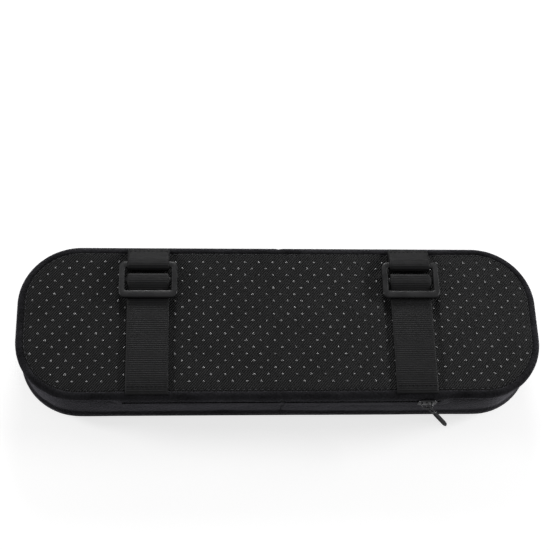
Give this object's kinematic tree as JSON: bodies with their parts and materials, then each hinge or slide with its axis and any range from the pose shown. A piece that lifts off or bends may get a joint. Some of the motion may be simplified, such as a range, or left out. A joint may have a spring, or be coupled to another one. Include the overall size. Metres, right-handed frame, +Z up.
{
  "type": "chair armrest pad",
  "caption": "Long foam armrest pad with rounded corners, plush cover, grip-dot underside and webbing straps with tri-glide buckles.",
  "frame": {"origin": "centre of the flat underside face that lies on the armrest", "axes": "+Z up out of the underside through the plush top; +X along the length towards the parked zipper slider; +Y towards the long side with the zipper; the buckles are near the -Y side"},
  "size_m": [0.25, 0.0896, 0.0417],
  "materials": {
    "plush_velour": "matte",
    "grip_fabric": "matte",
    "grip_dots": "gloss",
    "webbing": "satin",
    "buckle_plastic": "satin",
    "zipper_metal": "satin",
    "zipper_tape": "matte",
    "zipper_coil": "satin",
    "sewing_thread": "satin",
    "foam": "matte"
  },
  "bodies": {
    "cushion": {"foam_core": "foam", "top_panel": "plush_velour", "side_band_left": "plush_velour", "side_band_right": "plush_velour", "underside_panel": "grip_fabric", "top_seam_thread": "sewing_thread", "underside_seam_thread": "sewing_thread", "band_joint_thread": "sewing_thread", "zipper_tape_upper": "zipper_tape", "zipper_tape_lower": "zipper_tape", "zipper_coil_upper": "zipper_coil", "zipper_coil_lower": "zipper_coil", "zipper_top_stop": "zipper_metal", "zipper_bottom_stop": "zipper_metal", "strap_hem_left": "webbing", "tab_root_left": "webbing", "strap_stitches_left": "sewing_thread", "strap_hem_right": "webbing", "tab_root_right": "webbing", "strap_stitches_right": "sewing_thread"},
    "strap_left": {"webbing_left": "webbing", "webbing_tail_left": "webbing", "buckle_tab_left": "webbing"},
    "glide_left": {"buckle_left": "buckle_plastic", "threaded_webbing_left": "webbing"},
    "strap_right": {"webbing_right": "webbing", "webbing_tail_right": "webbing", "buckle_tab_right": "webbing"},
    "glide_right": {"buckle_right": "buckle_plastic", "threaded_webbing_right": "webbing"},
    "slider": {"zipper_slider": "zipper_metal"},
    "pull": {"zipper_pull": "zipper_metal"}
  },
  "joints": [
    {"name": "strap_left_slack", "type": "slide", "parent": "cushion", "child": "strap_left", "axis": [0, 0, -1], "range_m": [0, 0.012]},
    {"name": "buckle_left_tilt", "type": "hinge", "parent": "strap_left", "child": "glide_left", "pos_m": [-0.063, -0.0269, -0.0033], "axis": [-1, 0, 0], "range_deg": [0, 20]},
    {"name": "strap_right_slack", "type": "slide", "parent": "cushion", "child": "strap_right", "axis": [0, 0, -1], "range_m": [0, 0.012]},
    {"name": "buckle_right_tilt", "type": "hinge", "parent": "strap_right", "child": "glide_right", "pos_m": [0.063, -0.0269, -0.0033], "axis": [-1, 0, 0], "range_deg": [0, 20]},
    {"name": "zipper_slide", "type": "slide", "parent": "cushion", "child": "slider", "axis": [1, 0, 0], "range_m": [-0.136, 0]},
    {"name": "pull_swing", "type": "hinge", "parent": "slider", "child": "pull", "pos_m": [0.068, 0.0409, 0.005], "axis": [0, 0, 1], "range_deg": [-40, 110]}
  ]
}
